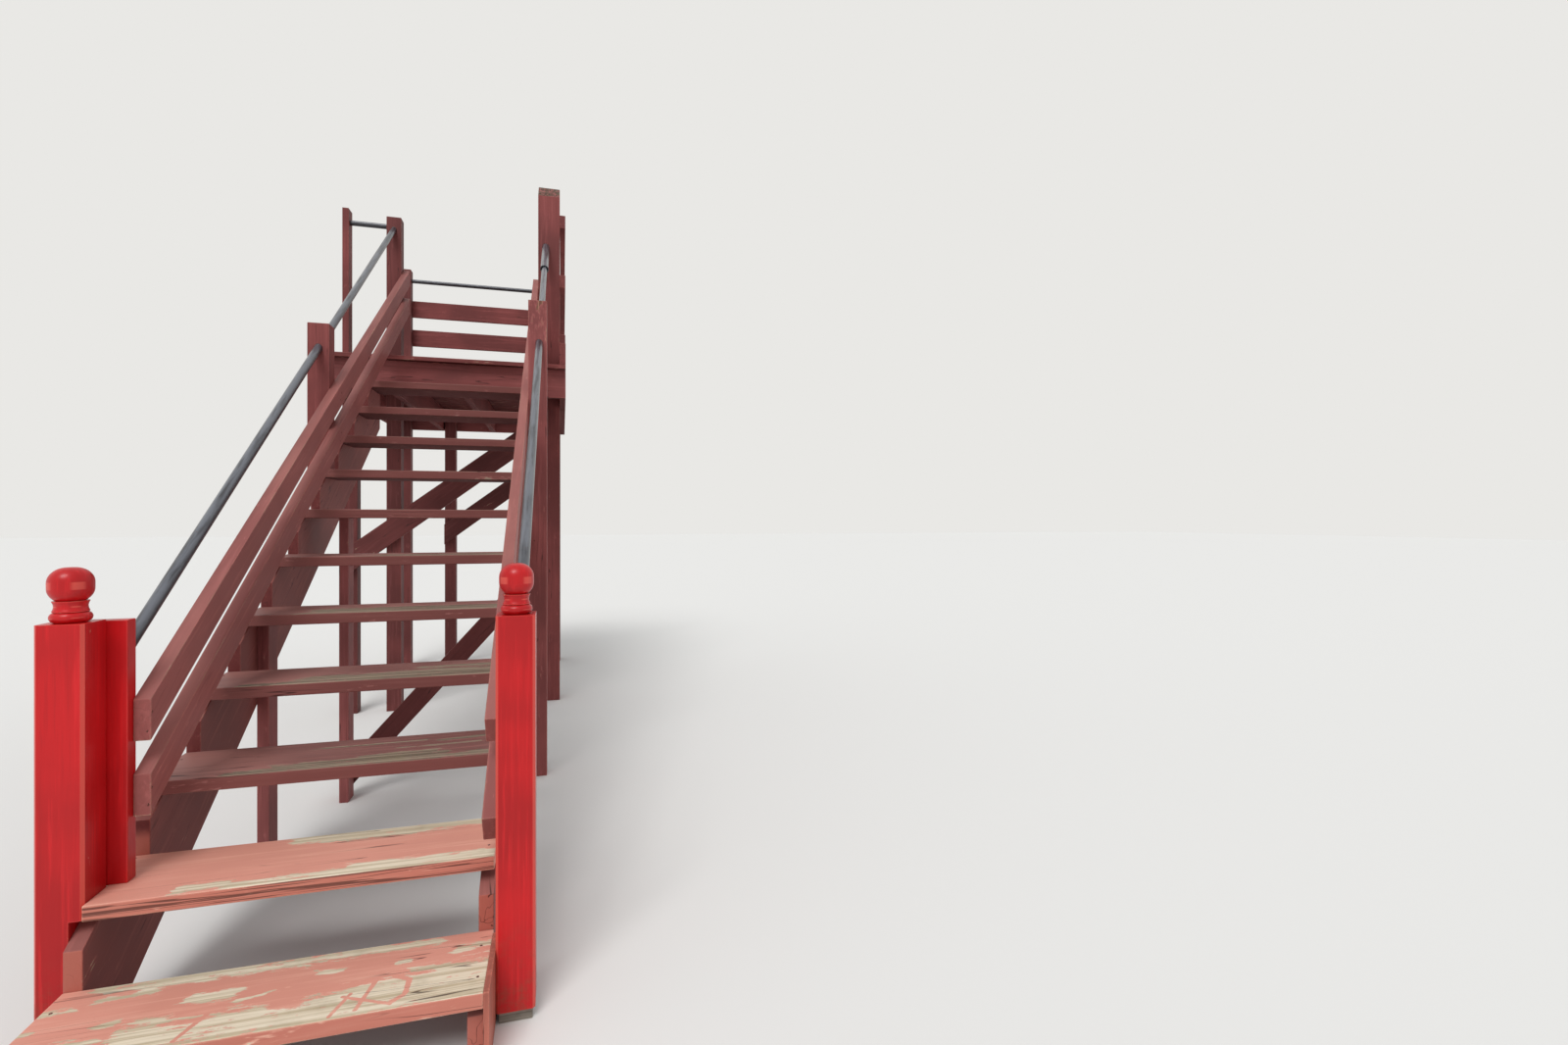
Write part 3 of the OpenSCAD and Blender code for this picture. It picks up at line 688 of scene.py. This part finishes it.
class FIRESTAIR_OT_treads(bpy.types.Operator):
    """Worn paint on the eleven treads, barest on the lowest"""

    bl_idname = "fire_stair.treads"
    bl_label = "Treads"

    # The lowest treads stand in the sun more than the others
    SUNNY = 2
    # Bare patches of each tread: two ends (across the flight, behind the nosing) and a reach.
    # The last row serves all the treads above it.
    PATCHES = [
        [(-0.19, 0.05, 0.02, 0.045, 0.055), (0.10, 0.03, 0.30, 0.055, 0.055),
         (0.27, 0.085, 0.35, 0.075, 0.05), (0.37, 0.07, 0.51, 0.09, 0.085),
         (0.44, 0.2, 0.5, 0.215, 0.022), (-0.33, 0.266, 0.15, 0.264, 0.026),
         (0.15, 0.264, 0.38, 0.255, 0.022), (-0.13, 0.17, -0.05, 0.165, 0.02),
         (-0.42, 0.2, -0.36, 0.2, 0.014), (-0.33, 0.225, -0.22, 0.235, 0.016),
         (-0.36, 0.05, -0.28, 0.05, 0.03), (0.3, 0.004, 0.52, 0.008, 0.034),
         (-0.27, 0.12, -0.24, 0.125, 0.012), (-0.02, 0.13, 0.02, 0.14, 0.01),
         (0.1, 0.2, 0.14, 0.19, 0.012), (0.28, 0.185, 0.31, 0.19, 0.01),
         (-0.44, 0.12, -0.41, 0.13, 0.012), (-0.4, 0.02, -0.3, 0.015, 0.016)],
        [(-0.1, 0.01, 0.5, 0.012, 0.026), (0.15, 0.035, 0.5, 0.03, 0.024),
         (-0.02, 0.256, 0.44, 0.258, 0.034), (0.05, 0.235, 0.3, 0.24, 0.022),
         (-0.22, 0.02, -0.12, 0.03, 0.022)],
        [(-0.2, 0.01, 0.5, 0.025, 0.03), (-0.1, 0.045, 0.33, 0.06, 0.028),
         (0.1, 0.075, 0.3, 0.085, 0.02), (0.2, 0.14, 0.42, 0.15, 0.011),
         (-0.05, 0.2, 0.25, 0.21, 0.008), (0.3, 0.2, 0.45, 0.21, 0.012)],
        [(-0.28, 0.01, 0.5, 0.02, 0.03), (-0.12, 0.06, 0.45, 0.09, 0.055),
         (0.2, 0.17, 0.45, 0.18, 0.03)],
        [(-0.2, 0.012, 0.5, 0.02, 0.026), (-0.15, 0.08, 0.5, 0.1, 0.07)],
        [(-0.1, 0.008, 0.45, 0.012, 0.014), (0.0, 0.08, 0.4, 0.1, 0.05)],
    ]
    # Runs of paint across the bare wood of the first tread
    TRAILS = [(-0.07, 0.1, -0.1, 0.02, 0.007), (0.26, 0.125, 0.24, 0.02, 0.007),
              (0.215, 0.085, 0.19, 0.01, 0.006), (0.2, 0.078, 0.31, 0.02, 0.006),
              (0.3, 0.13, 0.335, 0.105, 0.008), (0.335, 0.105, 0.335, 0.05, 0.008),
              (0.335, 0.05, 0.31, 0.025, 0.008)]

    def execute(self, context):
        paint = context.scene.fire_stair_paint
        for step, name in enumerate(TREADS):
            low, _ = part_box(name)
            sunny = step < self.SUNNY
            strokes = self.PATCHES[min(step, len(self.PATCHES) - 1)]
            # Each tread's front face takes painted shade, lighter on the sunny treads
            material = painted_timber(
                f"worn red paint {step + 1}", GRAIN_X,
                colour(paint, "lowest_tread" if sunny else "treads"),
                zone=bare_patches(low.y, strokes, self.TRAILS if step == 0 else ()),
                wood=SUNNY_WOOD if sunny else TREAD_WOOD,
                front_shade_paint=colour(paint, "low_fronts" if sunny else "fronts"),
                edge_wear=0.85 if sunny else 0.5, depth=0.82 if sunny else 0.66,
                grooves=0.95 if step == 1 else 0.0, undersides=0.96, ends="X",
                seed=step * 0.37)
            finish_boards([name], material, TREAD_EASE)
        return {"FINISHED"}


class FIRESTAIR_OT_stringers(bpy.types.Operator):
    """Faded paint on the stringers, with painted shade on their plumb cuts and painted sunlight
    on the lowest
    """

    bl_idname = "fire_stair.stringers"
    bl_label = "Stringers"

    def execute(self, context):
        paint = context.scene.fire_stair_paint
        material = painted_timber(
            "faded red on stringers", GRAIN_PITCH, colour(paint, "flight"), depth=0.78,
            front_shade_paint=colour(paint, "cuts"), low_front_sun_paint=colour(paint, "low_fronts"))
        finish_boards(["stringer_left", "stringer_right"], material)
        # The step end board takes the salmon of the low fronts: painted sunlight
        upright = painted_timber("sunlit salmon on step end", GRAIN_Z, colour(paint, "low_fronts"))
        finish_boards(["step_end_board"], upright)
        return {"FINISHED"}


class FIRESTAIR_OT_newels(bpy.types.Operator):
    """Gloss red newels on bare blocks, with the short post behind the left one"""

    bl_idname = "fire_stair.newels"
    bl_label = "Newels"

    def execute(self, context):
        paint = context.scene.fire_stair_paint
        material = glossy_red("gloss red", GRAIN_Z, colour(paint, "newels"))
        finish_boards(["newel_left", "newel_right"], material, 0.0)
        finish_boards(["newel_backing_post"], material)
        finish_boards(["newel_shoes"], grey_block_wood("bare grey wood"))
        return {"FINISHED"}


class FIRESTAIR_OT_posts(bpy.types.Operator):
    """Paint on the posts, with weathered tops"""

    bl_idname = "fire_stair.posts"
    bl_label = "Posts"

    def execute(self, context):
        paint = colour(context.scene.fire_stair_paint, "landing")
        bare_top = worn_top(POST_WEAR)
        rotten_top = worn_top(CORNER_WEAR)
        flight = painted_timber("faded red on posts", GRAIN_Z, paint, zone=bare_top,
                                wood=POST_WOOD)
        # The posts under the landing take its paint darkened as painted shade
        shaded = painted_timber("dark red on posts", GRAIN_Z, toned(paint, 0.68),
                                zone=bare_top, wood=SHADED_WOOD, seed=1.9)
        peeled = painted_timber("peeling red on post", GRAIN_Z, toned(paint, 1.15, 0.01),
                                zone=peeled_front, wood=PEELED_WOOD)
        corner = painted_timber("weathered red on corner post", GRAIN_Z, paint,
                                zone=rotten_top, wood=ROTTEN_WOOD, seed=4.2, edge_wear=0.7)
        finish_boards(["mid_post_left", "wall_post"], flight)
        finish_boards(["landing_post_front_right"], corner)
        finish_boards(["landing_post_front_left", "landing_post_front_wall",
                      "landing_post_back_left", "landing_post_back_right",
                      "landing_post_back_wall"], shaded)
        finish_boards(["mid_post_right"], peeled)
        return {"FINISHED"}


class FIRESTAIR_OT_rails(bpy.types.Operator):
    """Faded paint on the sloping rails"""

    bl_idname = "fire_stair.rails"
    bl_label = "Sloping rails"

    def execute(self, context):
        paint = context.scene.fire_stair_paint
        material = painted_timber("faded red on rails", GRAIN_PITCH, colour(paint, "rails"),
                                  ends="Y", edge_wear=0.8, depth=0.82, cracking=0.25,
                                  edge_highlight_share=0.7)
        finish_boards(["rails_left", "rails_right"], material)
        return {"FINISHED"}


class FIRESTAIR_OT_guards(bpy.types.Operator):
    """Dark red paint on the landing's guard boards"""

    bl_idname = "fire_stair.guards"
    bl_label = "Landing guards"

    def execute(self, context):
        paint = colour(context.scene.fire_stair_paint, "landing")
        along = painted_timber("landing red along", GRAIN_Y, paint, ends="Y")
        across = painted_timber("landing red across", GRAIN_X, paint, ends="X")
        finish_boards(["side_guard_boards"], along)
        finish_boards(["end_guard_rails"], across)
        return {"FINISHED"}


class FIRESTAIR_OT_landing(bpy.types.Operator):
    """The landing's deck boards and its frame"""

    bl_idname = "fire_stair.landing"
    bl_label = "Landing"

    def execute(self, context):
        paint = colour(context.scene.fire_stair_paint, "landing")
        along = painted_timber("frame red along", GRAIN_Y, paint, ends="Y", seed=2.1,
                               undersides=0.9)
        across = painted_timber("frame red across", GRAIN_X, toned(paint, 1.1, 0.012), ends="X",
                                seed=1.4, undersides=0.9)
        deck = painted_timber("worn deck paint", GRAIN_X, paint, chips=0.05, ends="X", seed=0.8,
                              undersides=0.96)
        finish_boards(["landing_side_joist", "wall_ledger", "landing_joists"], along)
        finish_boards(["landing_header", "landing_end_joist"], across)
        finish_boards(["deck_boards"], deck)
        return {"FINISHED"}


class FIRESTAIR_OT_underframe(bpy.types.Operator):
    """Legs and braces under the flight and the landing"""

    bl_idname = "fire_stair.underframe"
    bl_label = "Legs and braces"

    def execute(self, context):
        paint = colour(context.scene.fire_stair_paint, "landing")
        legs = painted_timber("leg red", GRAIN_Z, toned(paint, 1.35, 0.02), seed=3.3)
        finish_boards(["flight_legs"], legs)
        # The braces take the landing paint darkened as painted shade under the flight
        for name in ("flight_cross_brace", "landing_braces"):
            material = painted_timber(name.replace("_", " ") + " red", brace_turn(name),
                                      toned(paint, 0.58))
            finish_boards([name], material)
        return {"FINISHED"}


class FIRESTAIR_OT_pipes(bpy.types.Operator):
    """Black paint on the pipes"""

    bl_idname = "fire_stair.pipes"
    bl_label = "Pipes"

    def execute(self, context):
        paint = colour(context.scene.fire_stair_paint, "pipes")
        sloping = black_pipe_paint("black sloping pipe", GRAIN_PITCH, paint)
        level = black_pipe_paint("black level pipe", GRAIN_X, paint)
        for name in ("handrail_pipe_left", "handrail_pipe_right", "pipe_sleeve"):
            cover(name, sloping)
        for name in ("wall_gap_pipe", "end_guard_pipe"):
            cover(name, level)
        return {"FINISHED"}


class FIRESTAIR_OT_lip(bpy.types.Operator):
    """The rolled lip at the lower end of the right pipe's sleeve"""

    bl_idname = "fire_stair.lip"
    bl_label = "Sleeve lip"

    # The bead's thickness as a share of the sleeve's, and its sides and steps round
    BEAD = 0.12
    SIDES = 12
    STEPS = 48

    def execute(self, context):
        paint = colour(context.scene.fire_stair_paint, "pipes")
        low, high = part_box("pipe_sleeve")
        radius = (high.x - low.x) / 2
        lean = math.atan2(high.z - low.z - 2 * radius * math.cos(PITCH),
                          high.y - low.y - 2 * radius * math.sin(PITCH))
        bead = radius * self.BEAD
        start = Vector(((low.x + high.x) / 2, low.y + radius * math.sin(lean),
                        low.z + radius * math.cos(lean)))
        along = Vector((0.0, math.cos(lean), math.sin(lean)))
        outward = Vector((1.0, 0.0, 0.0))
        shape = bmesh.new()
        ring = [shape.verts.new(start + outward * (radius + bead * math.cos(turn) * 0.9)
                                + along * bead * (1 + math.sin(turn)))
                for turn in (math.tau * side / self.SIDES for side in range(self.SIDES))]
        edges = [shape.edges.new((ring[side], ring[(side + 1) % self.SIDES]))
                 for side in range(self.SIDES)]
        bmesh.ops.spin(shape, geom=ring + edges, cent=start, axis=along, dvec=(0, 0, 0),
                       angle=math.tau, steps=self.STEPS, use_merge=True, use_duplicate=False)
        bmesh.ops.recalc_face_normals(shape, faces=shape.faces)
        for face in shape.faces:
            face.smooth = True
        new_piece("sleeve_lip", shape, black_pipe_paint("black lip", GRAIN_PITCH, paint))
        return {"FINISHED"}


class FIRESTAIR_OT_nails(bpy.types.Operator):
    """Nail heads in the treads, the rails, the deck and a post"""

    bl_idname = "fire_stair.nails"
    bl_label = "Nails"

    SCATTER_SEED = 7
    # Behind a tread's nosing, and how much further back where the short post stands
    TREAD_NAILS = (0.07, 0.205)
    SHORT_POST = 0.06
    # Two nails at each crossing of a rail and a post, set aslant
    RAIL_NAILS = (-0.02, 0.02)
    # On the front of the right halfway post: share of its width, and height
    POST_NAILS = ((0.33, 1.432), (0.24, 1.341), (0.36, 1.181))
    # Across a deck board
    DECK_NAILS = (0.03, 0.11)
    # How far nails stay from a post or from the deck's end
    CLEAR = 0.01
    # Rails, which side of their box faces the flight (0 low, 1 high), and the posts they cross
    RAIL_POSTS = (
        ("rails_left", 1, ("newel_backing_post", "mid_post_left", "landing_post_front_left")),
        ("rails_right", 0, ("mid_post_right", "landing_post_front_right")))
    DECK_POSTS = ("landing_post_front_left", "landing_post_front_right",
                  "landing_post_back_right", "landing_post_back_wall", "wall_post")

    def execute(self, context):
        self.width = context.scene.fire_stair_fixings.nail_width
        self.scatter = random.Random(self.SCATTER_SEED)
        paint = context.scene.fire_stair_paint
        for name, strew_all, finish, paint_name, slot in (
                ("tread_nails", self.nail_treads, "tread nail", "treads", "worn_red_paint"),
                ("rail_nails", self.nail_rails, "rail nail", "flight", "old_red_paint"),
                ("landing_nails", self.nail_deck, "landing nail", "landing", "old_red_paint")):
            shape = bmesh.new()
            strew_all(shape)
            new_piece(name, shape, nail_iron(finish, colour(paint, paint_name)))
        return {"FINISHED"}

    def strew(self, shape, x, y, z, direction, spread=3.0):
        """One nail, off its spot by up to the spread in millimetres."""
        spot = Vector((x, y, z))
        for axis in range(3):
            if not direction[axis]:
                spot[axis] += self.scatter.uniform(-spread, spread) * MM
        nail_head(shape, spot, direction, self.width)

    def nail_treads(self, shape):
        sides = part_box("stringer_left"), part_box("stringer_right")
        for name in TREADS:
            low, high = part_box(name)
            for side in sides:
                for behind in self.TREAD_NAILS:
                    if name == "tread_02" and side is sides[0]:
                        behind += self.SHORT_POST
                    self.strew(shape, (side[0].x + side[1].x) / 2, low.y + behind, high.z,
                               (0, 0, 1), 6)

    def nail_rails(self, shape):
        for rails, face, posts in self.RAIL_POSTS:
            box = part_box(rails)
            high = box[1]
            direction = (1, 0, 0) if face else (-1, 0, 0)
            for post in posts:
                near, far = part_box(post)
                middle = (near.y + far.y) / 2
                upper = high.z - (high.y - middle) * SLOPE - RAIL_DEPTH / 2
                for z in (upper, upper - RAIL_STEP):
                    for shift in self.RAIL_NAILS:
                        self.strew(shape, box[face].x, middle + shift * 0.5, z + shift,
                                   direction)
        low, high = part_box("mid_post_right")
        for across, z in self.POST_NAILS:
            self.strew(shape, low.x + across * (high.x - low.x), low.y, z, (0, -1, 0))

    def nail_deck(self, shape):
        """Two nails over each joist in each whole board but the first, none under a post."""
        low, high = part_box("deck_boards")
        bearers = [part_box("wall_ledger"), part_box("landing_side_joist")]
        inner_low, inner_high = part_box("landing_joists")
        half = (bearers[0][1].x - bearers[0][0].x) / 2
        lines = [(box[0].x + box[1].x) / 2 for box in bearers]
        lines += [inner_low.x + half, (inner_low.x + inner_high.x) / 2, inner_high.x - half]
        for board in range(1, round((high.y - low.y) / DECK_PITCH)):
            for x in lines:
                for across in self.DECK_NAILS:
                    y = low.y + board * DECK_PITCH + across
                    if y < high.y - self.CLEAR and not self.under_post(x, y):
                        self.strew(shape, x, y, high.z, (0, 0, 1))

    def under_post(self, x, y):
        """Whether a spot on the deck lies under or beside one of the posts."""
        for near, far in map(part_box, self.DECK_POSTS):
            if (near.x - self.CLEAR < x < far.x + self.CLEAR
                    and near.y - self.CLEAR < y < far.y + self.CLEAR):
                return True
        return False


class FIRESTAIR_PT_panel(bpy.types.Panel):
    """Shows the stair's settings and a button for each step"""

    bl_label = "Fire stair"
    bl_idname = "FIRESTAIR_PT_panel"
    bl_space_type = "VIEW_3D"
    bl_region_type = "UI"
    bl_category = "Fire stair"

    def draw(self, context):
        for settings in (context.scene.fire_stair_paint, context.scene.fire_stair_fixings,
                         context.scene.fire_stair_stage):
            box = self.layout.box()
            for name in settings.__annotations__:
                box.prop(settings, name)
        for operator in OPERATORS:
            self.layout.operator(operator.bl_idname)


SETTINGS = {"fire_stair_paint": StairPaint, "fire_stair_fixings": StairFixings,
            "fire_stair_stage": StairStage}
OPERATORS = (
    FIRESTAIR_OT_stage, FIRESTAIR_OT_treads, FIRESTAIR_OT_stringers, FIRESTAIR_OT_newels,
    FIRESTAIR_OT_posts, FIRESTAIR_OT_rails, FIRESTAIR_OT_guards, FIRESTAIR_OT_landing,
    FIRESTAIR_OT_underframe, FIRESTAIR_OT_pipes, FIRESTAIR_OT_lip, FIRESTAIR_OT_nails)


def register():
    for name, group in SETTINGS.items():
        bpy.utils.register_class(group)
        setattr(bpy.types.Scene, name, bpy.props.PointerProperty(type=group))
    for item in (*OPERATORS, FIRESTAIR_PT_panel):
        bpy.utils.register_class(item)


def unregister():
    for item in (FIRESTAIR_PT_panel, *reversed(OPERATORS)):
        bpy.utils.unregister_class(item)
    for name, group in SETTINGS.items():
        delattr(bpy.types.Scene, name)
        bpy.utils.unregister_class(group)


def main():
    register()
    for operator in OPERATORS:
        group, name = operator.bl_idname.split(".")
        getattr(getattr(bpy.ops, group), name)()


if __name__ == "__main__":
    main()
